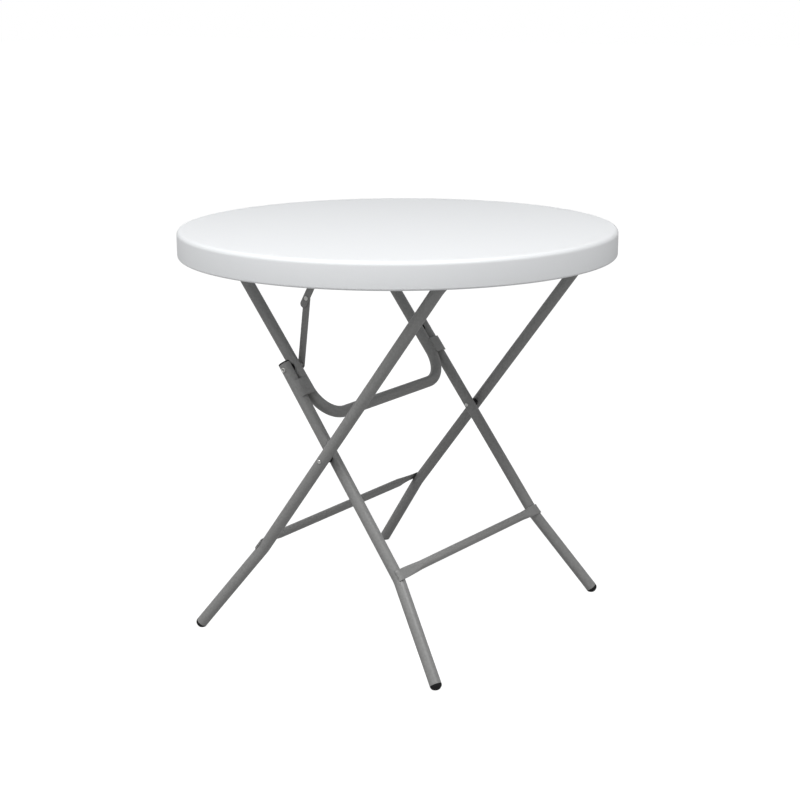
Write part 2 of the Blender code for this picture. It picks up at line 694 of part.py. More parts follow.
# --- U-bar: a bent tube with a cross bar between its upper ends -----------------------------------
def make_u_bar():
    corners = [u_bar_point(-U_BAR_PAST_PIVOT, FRONT), u_bar_point(U_BAR_LENGTH, FRONT)]
    corners += [u_bar_point(U_BAR_LENGTH, BACK), u_bar_point(-U_BAR_PAST_PIVOT, BACK)]
    radii = (U_BAR_CORNER_RADIUS, U_BAR_CORNER_RADIUS)
    bar = tube("u_bar", rounded_path(corners, radii, 6))
    cross_bar = tube("u_bar_cross_bar", [
        U_BAR_PIVOT + Vector((0, FRONT * U_BAR_Y, 0)),
        U_BAR_PIVOT + Vector((0, BACK * U_BAR_Y, 0)),
    ])
    rivet_ends = (INNER_Y_TOP + TUBE_RADIUS + GAP, U_BAR_Y - TUBE_RADIUS - GAP)
    for side_name, side in SIDES.items():
        cut(bar, pivot_hole(f"u_bar_pivot_hole_{side_name}", INNER_PIVOT, side, U_BAR_Y))
        cope = cylinder_cutter(
            f"u_bar_cope_{side_name}",
            u_bar_point(-0.03, side),
            u_bar_point(0.03, side),
            TUBE_RADIUS + GAP,
            24,
        )
        cut(cross_bar, cope)
        trim = block(
            f"u_bar_trim_{side_name}",
            (0.05, 0.03, 0.05),
            Matrix.Translation(u_bar_point(0, side) + Vector((0, side * 0.0140, 0))),
        )
        cut(cross_bar, trim)
        rivet(
            f"pivot_rivet_{side_name}",
            INNER_PIVOT,
            side,
            rivet_ends,
            PIVOT_RIVET_HEAD_RADIUS,
            U_BAR_BODY,
        )
        ring(
            f"pivot_washer_{side_name}",
            INNER_PIVOT,
            side,
            U_BAR_Y + TUBE_RADIUS + GAP,
            INNER_Y_TOP - TUBE_RADIUS - 2 * GAP,
            WASHER_RADIUS,
            U_BAR_BODY,
        )
        stop_plate(f"stop_plate_{side_name}", side)
    add(bar, U_BAR_BODY, GREY_PAINT)
    add(cross_bar, U_BAR_BODY, GREY_PAINT)


# --- Strut ----------------------------------------------------------------------------------------
def slot_outline(start, end, half_width):
    """A bar with round ends about start and end."""
    line = (end - start).normalized()
    heading = degrees(atan2(line.z, line.x))
    outline = arc((end.x, end.z), half_width, heading - 90, heading + 90, 6)
    return outline + arc((start.x, start.z), half_width, heading + 90, heading + 270, 6)


def hole_outline(place, radius):
    return arc((place.x, place.z), radius, 0, 330, 11)


def strut_rivet(name, place, outer_seat, inner_seat, carrier, neck_end=None, inner_head=True):
    """A small rivet along Y on the front side, between two half-widths.

    A neck as wide as the head may run in from the outer seat to neck_end.
    """
    radius, height = STRUT_RIVET_HEAD_RADIUS, STRUT_RIVET_HEAD_HEIGHT
    profile = head(radius, height, outer_seat, 1)[::-1]
    if neck_end is not None:
        profile.append((radius, neck_end))
    shank_start = outer_seat if neck_end is None else neck_end
    profile += [(STRUT_RIVET_RADIUS, shank_start), (STRUT_RIVET_RADIUS, inner_seat)]
    profile += head(radius, height, inner_seat, -1) if inner_head else [(0, inner_seat)]
    return add(turned(name, profile, along_y(place, FRONT)), carrier, BRIGHT_METAL)


def strut_link(name, start, end, holes, y_range, carrier):
    """A flat bar with round ends and a rivet hole at each of the given places."""
    outlines = [slot_outline(start, end, STRUT_HALF_WIDTH)]
    outlines += [hole_outline(place, STRUT_RIVET_RADIUS + GAP) for place in holes]
    link = flat_piece(name, outlines, y_range[1] - y_range[0], in_xz(sum(y_range) / 2))
    return add(link, carrier, GREY_PAINT)


def make_strut_links():
    # The upper link runs on past the elbow to its tip.
    upper_line = (STRUT_ELBOW - STRUT_TOP).normalized()
    tip = STRUT_ELBOW + upper_line * (STRUT_TIP - STRUT_HALF_WIDTH)
    upper_holes = (STRUT_TOP, STRUT_ELBOW)
    strut_link("strut_upper_link", STRUT_TOP, tip, upper_holes, STRUT_UPPER_Y, STRUT_UPPER_BODY)
    lower_ends = (STRUT_ELBOW, INNER_PIVOT)
    strut_link("strut_lower_link", *lower_ends, lower_ends, STRUT_LOWER_Y, STRUT_LOWER_BODY)


def make_strut_rivets():
    tab_face = GAP - STRUT_TAB_Y[0]
    upper_faces = (GAP - STRUT_UPPER_Y[0], -STRUT_UPPER_Y[1])
    lower_faces = (GAP - STRUT_LOWER_Y[0], -STRUT_LOWER_Y[1] - GAP)
    strut_rivet("strut_top_rivet", STRUT_TOP, tab_face, upper_faces[1], TOP_BODY, inner_head=False)
    strut_rivet("strut_elbow_rivet", STRUT_ELBOW, upper_faces[0], lower_faces[1], STRUT_UPPER_BODY)
    # The lower rivet's head comes up to the tail of the inner frame's pivot rivet.
    pivot_tail = U_BAR_Y - TUBE_RADIUS - GAP - RIVET_TAIL_HEIGHT
    seat = pivot_tail - 2 * GAP - STRUT_RIVET_HEAD_HEIGHT
    strut_rivet(
        "strut_lower_rivet", INNER_PIVOT, seat, lower_faces[1], STRUT_LOWER_BODY, lower_faces[0]
    )


def make_strut_bracket(tabletop):
    """An angle: a foot under the top and a tab down to the strut's upper pivot."""
    seat = UNDERSIDE - GAP
    thickness = STRUT_TAB_Y[1] - STRUT_TAB_Y[0]
    left = STRUT_TOP.x - STRUT_BRACKET_LENGTH / 2
    right = STRUT_TOP.x + STRUT_BRACKET_LENGTH / 2
    shoulder = seat - STRUT_BRACKET_SHOULDER
    tab_outline = [(right, seat), (left, seat), (left, shoulder)]
    tab_outline += arc((STRUT_TOP.x, STRUT_TOP.z), STRUT_BRACKET_TAB_RADIUS, 180, 360, 8)
    tab_outline.append((right, shoulder))
    bracket = flat_piece(
        "strut_bracket",
        [tab_outline, hole_outline(STRUT_TOP, STRUT_RIVET_RADIUS + GAP)],
        thickness,
        in_xz(sum(STRUT_TAB_Y) / 2),
    )
    foot_y = STRUT_TAB_Y[0] + STRUT_BRACKET_DEPTH / 2
    foot_placement = Matrix.Translation((STRUT_TOP.x, foot_y, seat - thickness / 2))
    foot_size = (STRUT_BRACKET_LENGTH, STRUT_BRACKET_DEPTH, thickness)
    join(bracket, block("strut_bracket_foot", foot_size, foot_placement))
    for number, x_side in enumerate((-1, 1), 1):
        x = STRUT_TOP.x + x_side * STRUT_BRACKET_LENGTH * 0.3
        y = foot_y + 0.003
        hole = screw_hole(f"strut_bracket_hole_{number}", x, y)
        cut(bracket, hole)
        cut(tabletop, hole)
        screw(f"strut_bracket_screw_{number}", x, y, seat - thickness)
    add(bracket, TOP_BODY, BRIGHT_METAL)


TABLETOP = make_tabletop()
make_straps(TABLETOP)
make_strut_bracket(TABLETOP)
make_strut_links()
make_strut_rivets()
make_outer_frame()
make_inner_frame()
make_u_bar()
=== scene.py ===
"""The looks of a round folding table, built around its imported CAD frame.

The frame is in metres with +Z up. X is the direction in which the legs cross, Y runs along every
hinge axis and "front" is the -Y side. The fine pieces here stand for the coarse CAD ones of the same
shape, and their places come from the frame's joints and nodes.
"""

import json
from math import atan2, ceil, cos, degrees, hypot, pi, radians, sin, tan

import bmesh
import bpy
from mathutils import Matrix, Vector


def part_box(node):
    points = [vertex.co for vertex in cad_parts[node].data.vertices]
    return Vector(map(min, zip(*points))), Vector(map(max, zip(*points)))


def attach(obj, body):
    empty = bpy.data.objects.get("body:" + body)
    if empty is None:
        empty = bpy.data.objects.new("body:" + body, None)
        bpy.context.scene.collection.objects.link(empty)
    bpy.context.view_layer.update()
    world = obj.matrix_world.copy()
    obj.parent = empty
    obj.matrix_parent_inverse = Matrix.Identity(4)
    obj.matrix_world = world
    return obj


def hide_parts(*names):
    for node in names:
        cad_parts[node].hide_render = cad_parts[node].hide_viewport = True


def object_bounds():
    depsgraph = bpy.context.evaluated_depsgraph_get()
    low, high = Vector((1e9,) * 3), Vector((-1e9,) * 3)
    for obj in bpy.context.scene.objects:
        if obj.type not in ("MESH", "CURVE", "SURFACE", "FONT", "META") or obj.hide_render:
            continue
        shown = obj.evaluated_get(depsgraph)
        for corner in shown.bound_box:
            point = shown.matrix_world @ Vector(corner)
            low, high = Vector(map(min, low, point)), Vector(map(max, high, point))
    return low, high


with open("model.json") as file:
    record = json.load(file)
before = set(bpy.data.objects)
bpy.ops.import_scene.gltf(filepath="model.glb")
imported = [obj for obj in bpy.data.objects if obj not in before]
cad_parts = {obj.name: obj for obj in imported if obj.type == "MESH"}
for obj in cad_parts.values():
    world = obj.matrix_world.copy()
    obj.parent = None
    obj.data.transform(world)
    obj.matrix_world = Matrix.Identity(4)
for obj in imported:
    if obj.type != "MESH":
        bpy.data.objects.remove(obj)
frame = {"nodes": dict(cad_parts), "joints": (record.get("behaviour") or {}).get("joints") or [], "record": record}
CAD_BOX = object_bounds()
NODES = frame["nodes"]
JOINTS = {joint["name"]: joint for joint in frame["joints"]}

FRONT, BACK = -1, 1
SIDES = {"front": FRONT, "back": BACK}

# --- Sizes of the fine pieces ---------------------------------------------------------------------
TUBE_SIDES = 40
TURN_SIDES = 48
TOP_SIDES = 192
TUBE_RADIUS = 0.01065
TUBE_WALL = 0.0012
STRETCHER_RADIUS = 0.008
GAP = 0.0003
KINK_RADIUS = 0.045
OUTER_CORNER_RADIUS = 0.036
U_BAR_CORNER_RADIUS = 0.060
U_BAR_LENGTH = 0.3705
U_BAR_PAST_PIVOT = 0.004
FOOT_AXIS_HEIGHT = 0.008

# Half-widths of the frames across the table, and the places of the bends along the legs.
OUTER_Y_TOP = 0.2577
OUTER_Y_KINK = 0.2493
OUTER_Y_FOOT = 0.2957
INNER_Y_TOP = 0.2183
INNER_Y_KINK = 0.2283
INNER_Y_FOOT = 0.2769
U_BAR_Y = 0.1948
OUTER_KINK_AT = 0.6816
INNER_KINK_AT = 0.4247
INNER_END_BEYOND_PIVOT = 0.0105
INNER_FOOT_X = 0.2713

# Stretchers, with their ends pressed flat over the legs.
OUTER_STRETCHER_AT = 0.6797
INNER_STRETCHER_AT = 0.4213
INNER_STRETCHER_SKEW = 0.0034
TAB_HALF_WIDTH = 0.0098
TAB_HALF_THICKNESS = 0.0012
TAB_CLEARANCE = 0.0005
TAB_WRAP_END = 45
TAB_FLAT_LENGTH = 0.0120
TAB_TAPER_LENGTH = 0.0450

# Stop plates.
STOP_PLATE_LENGTH = 0.032
STOP_PLATE_THICKNESS = 0.002
STOP_PLATE_FROM_PIVOT = 0.043
STOP_PLATE_LIP_ANGLE = 37

# Weld beads.
BEAD_RADIUS = 0.0011
LONG_BEAD_RADIUS = 0.0012
BEAD_RIPPLE = 0.12
BEAD_PITCH = 0.0016

# Rivets, spacers, caps, feet and screws.
RIVET_RADIUS = 0.0026
PIVOT_HEAD_RADIUS = 0.0046
CROSSING_HEAD_RADIUS = 0.0038
HEAD_HEIGHT = 0.0020
TAIL_HEIGHT = 0.0016
SPACER_RADIUS = 0.0075
WASHER_RADIUS = 0.0080
PLUG_RADIUS = TUBE_RADIUS - TUBE_WALL - 2 * GAP
CAP_FLANGE = 0.0024
CAP_PLUG_LENGTH = 0.006
FOOT_PLUG_LENGTH = 0.010
FOOT_DOME_LENGTH = 0.0095
SCREW_HEAD_RADIUS = 0.0042
SCREW_HEAD_HEIGHT = 0.0022
SCREW_LENGTH = 0.009
SCREW_RADIUS = 0.002
SCREW_SLOT = 0.0010
SCREW_SLOT_REACH = SCREW_HEAD_RADIUS * 0.55
SCREW_SLOT_TURN = 20
SCREW_THREADS = 7
SCREW_PITCH = 0.0010
SCREW_POINT = 0.0018
SCREW_EDGE = 0.0006
HOLLOW_HEAD_DEPTH = 0.0035
FOOT_EDGE = 0.0004
CAP_EDGE = 0.0008

# Pivot straps.
STRAP_Y = 0.130
STRAP_WIDTH = 0.025
STRAP_THICKNESS = 0.0016
STRAP_FLANGE = 0.020
STRAP_CLEARANCE = 0.0006
STRAP_BEND = 0.0025
STRAP_SCREW_AT = 0.55

# Strut, on the front side.
STRUT_TAB_Y = (-0.1835, -0.1815)
STRUT_UPPER_Y = (-0.1810, -0.1795)
STRUT_LOWER_Y = (-0.1790, -0.1770)
STRUT_HALF_WIDTH = 0.0072
STRUT_TIP = 0.0195
STRUT_HEAD_RADIUS = 0.0042
STRUT_HEAD_HEIGHT = 0.0012
STRUT_RIVET_RADIUS = 0.0022
STRUT_BRACKET_LENGTH = 0.044
STRUT_BRACKET_DEPTH = 0.024
STRUT_BRACKET_SHOULDER = 0.006
STRUT_BRACKET_TAB_RADIUS = 0.009

# Tabletop. Dimples in the underside join it to the upper skin.
RIM_DEPTH = 0.048
RIM_WIDTH = 0.018
PANEL_DEPTH = 0.0155
TOP_EDGE_ROUND = 0.008
LOWER_EDGE_ROUND = 0.004
GROOVE_RADIUS = 0.352
GROOVE_WIDTH = 0.012
GROOVE_DEPTH = 0.003
DIMPLE_SPACING = 0.046
DIMPLE_RADIUS = 0.009
DIMPLE_DEPTH = 0.010
DIMPLE_EDGE_ROUND = 0.0012
DIMPLE_SIDES = 24
DIMPLE_FIELD_RADIUS = 0.328

# Light.
FLOOR_BOUNCE = 0.18
FLOOR_WHITE = 0.92
HORIZON_LIGHT = 0.54
OVERHEAD_LIGHT = 0.24
KEY_POWER = 58
KEY_PLACE = (1.60, -0.80, 3.3)
FILL_POWER = 42
FILL_PLACE = (-0.60, -2.10, 2.8)
KEY_SIZE = 1.4
FILL_SIZE = 1.6
LIGHT_AIM = (0, 0, 0.35)

# Camera.
CAMERA_AZIMUTH = radians(35.2072)
CAMERA_ELEVATION = radians(14.5034)
CAMERA_ROLL = radians(-0.2359)
CAMERA_DISTANCE = 2.9505
CAMERA_TARGET = Vector((0.0041, 0.0, 0.4114))
CAMERA_LENS = 70.8


# --- Places read from the frame -------------------------------------------------------------------
def joint_place(name):
    return Vector(JOINTS[name]["pos_m"])


def centre_of(node):
    low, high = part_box(node)
    return (Vector(low) + Vector(high)) / 2


OUTER_PIVOT = joint_place("outer_frame_hinge")
U_BAR_PIVOT = joint_place("u_bar_hinge")
INNER_PIVOT = joint_place("inner_frame_hinge")
STRUT_TOP = joint_place("strut_upper_hinge")
STRUT_ELBOW = joint_place("strut_elbow_hinge")
CROSSING = centre_of("crossing_spacer_front")
CROSSING.y = 0
TABLE_HEIGHT = CAD_BOX[1][2]
TOP_RADIUS = CAD_BOX[1][0]
UNDERSIDE = TABLE_HEIGHT - PANEL_DEPTH

OUTER_DIRECTION = (CROSSING - OUTER_PIVOT).normalized()
# The inner legs' centre line runs through the crossing to the feet, and passes by the upper pivot.
INNER_DIRECTION = (Vector((INNER_FOOT_X, 0, FOOT_AXIS_HEIGHT)) - CROSSING).normalized()
INNER_TOP = CROSSING - INNER_DIRECTION * (CROSSING - INNER_PIVOT).length
U_BAR_DIRECTION = (INNER_PIVOT - U_BAR_PIVOT).normalized()
OUTER_FOOT_AT = (FOOT_AXIS_HEIGHT - OUTER_PIVOT.z) / OUTER_DIRECTION.z
INNER_FOOT_AT = (FOOT_AXIS_HEIGHT - INNER_TOP.z) / INNER_DIRECTION.z


def leg_y(at, y_top, kink_at, y_kink, foot_at, y_foot):
    """The half-width of a frame at a distance along its leg."""
    if at <= kink_at:
        return y_top + (y_kink - y_top) * at / kink_at
    return y_kink + (y_foot - y_kink) * (at - kink_at) / (foot_at - kink_at)


def outer_point(at, side):
    y = leg_y(at, OUTER_Y_TOP, OUTER_KINK_AT, OUTER_Y_KINK, OUTER_FOOT_AT, OUTER_Y_FOOT)
    return OUTER_PIVOT + OUTER_DIRECTION * at + Vector((0, side * y, 0))


def inner_point(at, side):
    y = leg_y(at, INNER_Y_TOP, INNER_KINK_AT, INNER_Y_KINK, INNER_FOOT_AT, INNER_Y_FOOT)
    return INNER_TOP + INNER_DIRECTION * at + Vector((0, side * y, 0))


def u_bar_point(at, side):
    return U_BAR_PIVOT + U_BAR_DIRECTION * at + Vector((0, side * U_BAR_Y, 0))


def upward_normal(direction):
    """The unit vector across a leg, in the XZ plane, on the leg's upper face."""
    normal = Vector((-direction.z, 0, direction.x))
    return normal if normal.z > 0 else -normal


def along_y(place, side):
    """The placement of a turned piece whose axis runs outward along Y through a point's x and z."""
    return placed(Vector((place.x, 0, place.z)), Vector((0, side, 0)), Vector((1, 0, 0)))


def placed(origin, direction, up=Vector((0, 1, 0))):
    """A placement whose local Z is the direction and whose local X is close to up."""
    z = direction.normalized()
    x = (up - z * up.dot(z)).normalized()
    return Matrix.Translation(origin) @ Matrix((x, z.cross(x), z)).transposed().to_4x4()


def in_xz(y):
    """The placement that lays a flat piece in the XZ plane at a given Y."""
    return Matrix.Translation((0, y, 0)) @ Matrix.Rotation(pi / 2, 4, "X")


# --- Materials ------------------------------------------------------------------------------------
class Finish:
    """A Principled material with small procedural variation."""

    def __init__(self, name, colour, roughness, metallic=0.0):
        self.material = bpy.data.materials.new(name)
        self.material.use_nodes = True
        self.tree = self.material.node_tree
        self.shader = self.tree.nodes["Principled BSDF"]
        self.shader.inputs["Base Color"].default_value = (*colour, 1)
        self.shader.inputs["Roughness"].default_value = roughness
        self.shader.inputs["Metallic"].default_value = metallic
        self.place = self.tree.nodes.new("ShaderNodeTexCoord").outputs["Object"]
        self.normal = None

    def noise(self, scale, detail=2.0, roughness=0.5):
        node = self.tree.nodes.new("ShaderNodeTexNoise")
        node.inputs["Scale"].default_value = scale
        node.inputs["Detail"].default_value = detail
        node.inputs["Roughness"].default_value = roughness
        self.tree.links.new(self.place, node.inputs["Vector"])
        return node.outputs["Fac"]

    def cells(self, scale):
        node = self.tree.nodes.new("ShaderNodeTexVoronoi")
        node.feature = "SMOOTH_F1"
        node.inputs["Scale"].default_value = scale
        self.tree.links.new(self.place, node.inputs["Vector"])
        return node.outputs["Distance"]

    def bump(self, height, distance, strength=1.0):
        node = self.tree.nodes.new("ShaderNodeBump")
        node.inputs["Distance"].default_value = distance
        node.inputs["Strength"].default_value = strength
        self.tree.links.new(height, node.inputs["Height"])
        if self.normal:
            self.tree.links.new(self.normal, node.inputs["Normal"])
        self.normal = node.outputs["Normal"]
        self.tree.links.new(self.normal, self.shader.inputs["Normal"])
        return self

    def vary(self, socket, source, low, high):
        """Maps a 0 to 1 pattern onto a range of one of the shader's inputs."""
        if isinstance(low, tuple):
            node = self.tree.nodes.new("ShaderNodeMix")
            node.data_type = "RGBA"
            node.inputs["A"].default_value = (*low, 1)
            node.inputs["B"].default_value = (*high, 1)
            self.tree.links.new(source, node.inputs["Factor"])
            colours = [out for out in node.outputs if out.type == "RGBA"]
            self.tree.links.new(colours[0], self.shader.inputs[socket])
            return self
        node = self.tree.nodes.new("ShaderNodeMapRange")
        node.inputs["To Min"].default_value = low
        node.inputs["To Max"].default_value = high
        self.tree.links.new(source, node.inputs["Value"])
        self.tree.links.new(node.outputs["Result"], self.shader.inputs[socket])
        return self


def white_plastic():
    made = Finish("white_hdpe_pebbled", (0.83, 0.845, 0.86), 0.5)
    made.bump(made.cells(420), 0.00012, 0.6)
    made.bump(made.noise(14, 3), 0.0006, 0.15)
    made.vary("Roughness", made.noise(60), 0.42, 0.56)
    return made.material


def grey_paint():
    made = Finish("grey_powder_coat_fine", (0.28, 0.28, 0.275), 0.38, 0.1)
    made.bump(made.noise(900, 2), 0.00006, 0.8)
    made.vary("Roughness", made.noise(120), 0.30, 0.46)
    made.vary("Base Color", made.noise(240, 4, 0.7), (0.19, 0.19, 0.188), (0.37, 0.37, 0.365))
    return made.material


def bright_metal():
    made = Finish("bright_zinc_fine", (0.78, 0.78, 0.76), 0.28, 1.0)
    made.vary("Roughness", made.noise(500, 4), 0.2, 0.42)
    made.bump(made.noise(1400, 2), 0.00003, 0.6)
    return made.material


def black_plastic():
    made = Finish("black_plastic_fine", (0.013, 0.013, 0.014), 0.45)
    made.shader.inputs["Specular IOR Level"].default_value = 0.2
    made.vary("Roughness", made.noise(400), 0.45, 0.62)
    made.bump(made.noise(1100), 0.00005, 0.6)
    return made.material


# Painted shade: a near-black zinc for the screws' cross slots, standing in for the shade inside a cut recess.
def painted_slot_shade():
    made = Finish("painted_slot_shade", (0.05, 0.05, 0.05), 0.6, 0.6)
    made.vary("Roughness", made.noise(800), 0.5, 0.7)
    return made.material


WHITE_PLASTIC = white_plastic()
GREY_PAINT = grey_paint()
BRIGHT_METAL = bright_metal()
BLACK_PLASTIC = black_plastic()
PAINTED_SLOT_SHADE = painted_slot_shade()
SLOT_OF = {
    WHITE_PLASTIC: "white_hdpe",
    GREY_PAINT: "grey_powder_coat",
    BRIGHT_METAL: "bright_zinc",
    BLACK_PLASTIC: "black_plastic",
}
LOOK_OF_SLOT = {slot: look for look, slot in SLOT_OF.items()}
# The painted slot shade stands for the screws' own bright zinc.
SLOT_OF[PAINTED_SLOT_SHADE] = "bright_zinc"


# --- Shapes ---------------------------------------------------------------------------------------
def finish_piece(name, shape, body, look, replaced=(), smooth_angle=38):
    """Makes the piece's object, gives it its look and rides it on a body."""
    bmesh.ops.recalc_face_normals(shape, faces=shape.faces)
    mesh = bpy.data.meshes.new(name)
    shape.to_mesh(mesh)
    shape.free()
    mesh.materials.append(look)
    mesh.shade_smooth()
    mesh.set_sharp_from_angle(angle=radians(smooth_angle))
    obj = bpy.data.objects.new(name, mesh)
    bpy.context.scene.collection.objects.link(obj)
    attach(obj, body)
    if replaced:
        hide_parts(*replaced)
    return obj


def skin_between(shape, first, second):
    """A band of faces between two rings with the same number of vertices."""
    count = len(first)
    for i in range(count):
        j = (i + 1) % count
        shape.faces.new((first[i], first[j], second[j], second[i]))


def rounded_path(points, radii, steps):
    """The points with each inner corner replaced by an arc of the given radius."""
    path = [points[0]]
    for before, corner, after, radius in zip(points, points[1:], points[2:], radii):
        towards = (before - corner).normalized()
        away = (after - corner).normalized()
        half_angle = towards.angle(away) / 2
        centre = corner + (towards + away).normalized() * (radius / sin(half_angle))
        across = corner + towards * (radius / tan(half_angle)) - centre
        axis = across.cross(corner - centre).normalized()
        turn = pi - 2 * half_angle
        for step in range(steps + 1):
            path.append(centre + Matrix.Rotation(turn * step / steps, 3, axis) @ across)
    path.append(points[-1])
    return path


def sweep_rings(shape, path, radii, sides, closed=False):
    """Rings of vertices along a path, turned as little as possible from one to the next."""
    count = len(path)
    rings = []
    across = (path[1] - path[0]).orthogonal().normalized()
    for i, (place, radius) in enumerate(zip(path, radii)):
        before = path[i - 1] if i or closed else place
        after = path[(i + 1) % count] if i < count - 1 or closed else place
        tangent = (after - before).normalized()
        across = (across - tangent * across.dot(tangent)).normalized()
        other = tangent.cross(across)
        ring = []
        for side in range(sides):
            angle = 2 * pi * side / sides
            ring.append(shape.verts.new(place + (across * cos(angle) + other * sin(angle)) * radius))
        rings.append(ring)
    return rings


def tube(name, path, body, replaced=()):
    """A hollow painted tube with open ends."""
    shape = bmesh.new()
    outside = sweep_rings(shape, path, [TUBE_RADIUS] * len(path), TUBE_SIDES)
    inside = sweep_rings(shape, path, [TUBE_RADIUS - TUBE_WALL] * len(path), TUBE_SIDES)
    for rings in (outside, inside):
        for first, second in zip(rings, rings[1:]):
            skin_between(shape, first, second)
    skin_between(shape, outside[0], inside[0])
    skin_between(shape, outside[-1], inside[-1])
    return finish_piece(name, shape, body, GREY_PAINT, replaced)


def spaced(path, pitch):
    """The path with points added so that none are further apart than the pitch."""
    points = [path[0]]
    for start, end in zip(path, path[1:]):
        steps = max(1, ceil((end - start).length / pitch))
        points += [start.lerp(end, step / steps) for step in range(1, steps + 1)]
    return points


def weld_bead(name, path, body, radius=BEAD_RADIUS, closed=False):
    """A rippled bead of weld along a path, painted with the tubes."""
    points = spaced(path, BEAD_PITCH / 4)
    if closed:
        points.pop()
    radii = [radius * (1 + BEAD_RIPPLE * sin(pi * i / 2)) for i in range(len(points))]
    if not closed:
        radii[0] = radii[-1] = radius * 0.5
    shape = bmesh.new()
    rings = sweep_rings(shape, points, radii, 10, closed)
    for first, second in zip(rings, rings[1:]):
        skin_between(shape, first, second)
    if closed:
        skin_between(shape, rings[-1], rings[0])
    else:
        shape.faces.new(rings[0])
        shape.faces.new(rings[-1])
    return finish_piece(name, shape, body, GREY_PAINT, smooth_angle=80)


def turned_shape(profile, placement, sides=TURN_SIDES):
    """A turned shape whose profile is (radius, height) pairs. A radius of 0 closes it on the axis."""
    shape = bmesh.new()
    rings = []
    for radius, height in profile:
        ring = []
        for side in range(1 if radius == 0 else sides):
            angle = 2 * pi * side / sides
            place = Vector((radius * cos(angle), radius * sin(angle), height))
            ring.append(shape.verts.new(placement @ place))
        rings.append(ring)
    pairs = list(zip(rings, rings[1:]))
    if profile[0][0] > 0:
        pairs.append((rings[-1], rings[0]))
    for first, second in pairs:
        if len(first) == len(second):
            skin_between(shape, first, second)
            continue
        point, ring = (first[0], second) if len(first) == 1 else (second[0], first)
        for i in range(len(ring)):
            shape.faces.new((point, ring[i], ring[(i + 1) % len(ring)]))
    return shape


def arc(centre, radius, start, end, steps):
    """Points (x, y) along a circular arc between two angles in degrees."""
    angles = [radians(start + (end - start) * i / steps) for i in range(steps + 1)]
    return [(centre[0] + radius * cos(a), centre[1] + radius * sin(a)) for a in angles]


def strip_outline(path, thickness):
    """The outline of a thin strip that follows a path, on the path's right-hand side."""
    points = [Vector(point) for point in path]
    offset = []
    for i, point in enumerate(points):
        incoming = (point - points[i - 1] if i else points[1] - point).normalized()
        outgoing = (points[i + 1] - point).normalized() if i < len(points) - 1 else incoming
        bisector = (incoming + outgoing).normalized()
        right = Vector((bisector.y, -bisector.x))
        offset.append(tuple(point + right * (thickness / bisector.dot(incoming))))
    return list(path) + offset[::-1]


def plate_shape(outline, thickness, placement, edge=0.0003):
    """A flat plate cut to an outline, with its edges rounded."""
    shape = bmesh.new()
    lower = [shape.verts.new((x, y, -thickness / 2)) for x, y in outline]
    upper = [shape.verts.new((x, y, thickness / 2)) for x, y in outline]
    shape.faces.new(lower)
    shape.faces.new(upper)
    skin_between(shape, lower, upper)
    bmesh.ops.recalc_face_normals(shape, faces=shape.faces)
    sharp = [e for e in shape.edges if e.calc_face_angle(0) > radians(40)]
    bmesh.ops.bevel(
        shape, geom=sharp, offset=edge, segments=2, profile=0.5, affect="EDGES", clamp_overlap=True
    )
    shape.transform(placement)
    return shape


def rectangle(width, height):
    x, y = width / 2, height / 2
    return [(-x, -y), (x, -y), (x, y), (-x, y)]


# --- Tabletop -------------------------------------------------------------------------------------
def rim_profile():
    """From the middle of the upper face, round the rim and over the groove to the dimpled field."""
    bottom = TABLE_HEIGHT - RIM_DEPTH
    rim_inside = TOP_RADIUS - RIM_WIDTH
    big, small = TOP_EDGE_ROUND, LOWER_EDGE_ROUND
    profile = [(0, TABLE_HEIGHT), (TOP_RADIUS * 0.5, TABLE_HEIGHT), (TOP_RADIUS * 0.9, TABLE_HEIGHT)]
    profile += arc((TOP_RADIUS - big, TABLE_HEIGHT - big), big, 90, 0, 12)
    profile += arc((TOP_RADIUS - small, bottom + small), small, 0, -90, 6)
    profile += arc((rim_inside + small, bottom + small), small, -90, -180, 6)
    profile += arc((rim_inside - small, UNDERSIDE - small), small, 0, 90, 6)
    for step in range(13):
        share = step / 12
        radius = GROOVE_RADIUS + GROOVE_WIDTH * (0.5 - share)
        profile.append((radius, UNDERSIDE + GROOVE_DEPTH * sin(pi * share) ** 2))
    profile.append((DIMPLE_FIELD_RADIUS + DIMPLE_RADIUS, UNDERSIDE))
    return profile


def strap_pads():
    """Flat places for the straps' and the bracket's feet: (x, y, half-length, half-width)."""
    reach = TUBE_RADIUS + STRAP_CLEARANCE + STRAP_FLANGE
    pads = []
    for pivot_x in (OUTER_PIVOT.x, U_BAR_PIVOT.x):
        for side in SIDES.values():
            pads.append((pivot_x, side * STRAP_Y, reach, STRAP_WIDTH / 2))
    bracket_y = STRUT_TAB_Y[0] + STRUT_BRACKET_DEPTH / 2
    pads.append((STRUT_TOP.x, bracket_y, STRUT_BRACKET_LENGTH / 2, STRUT_BRACKET_DEPTH / 2))
    return pads


def dimple_places():
    """A square grid of places inside the field, clear of the pads."""
    reach = int(DIMPLE_FIELD_RADIUS / DIMPLE_SPACING)
    margin = DIMPLE_RADIUS + 0.003
    kept_flat = [(x, y, half_x + margin, half_y + margin) for x, y, half_x, half_y in strap_pads()]
    places = []
    for column in range(-reach, reach + 1):
        for row in range(-reach, reach + 1):
            x, y = column * DIMPLE_SPACING, row * DIMPLE_SPACING
            if hypot(x, y) + DIMPLE_RADIUS > DIMPLE_FIELD_RADIUS:
                continue
            if any(abs(x - px) < reach_x and abs(y - py) < reach_y for px, py, reach_x, reach_y in kept_flat):
                continue
            places.append((x, y))
    return places


def add_ring(shape, x, y, radius, z):
    angles = [2 * pi * side / DIMPLE_SIDES for side in range(DIMPLE_SIDES)]
    return [shape.verts.new((x + radius * cos(a), y + radius * sin(a), z)) for a in angles]


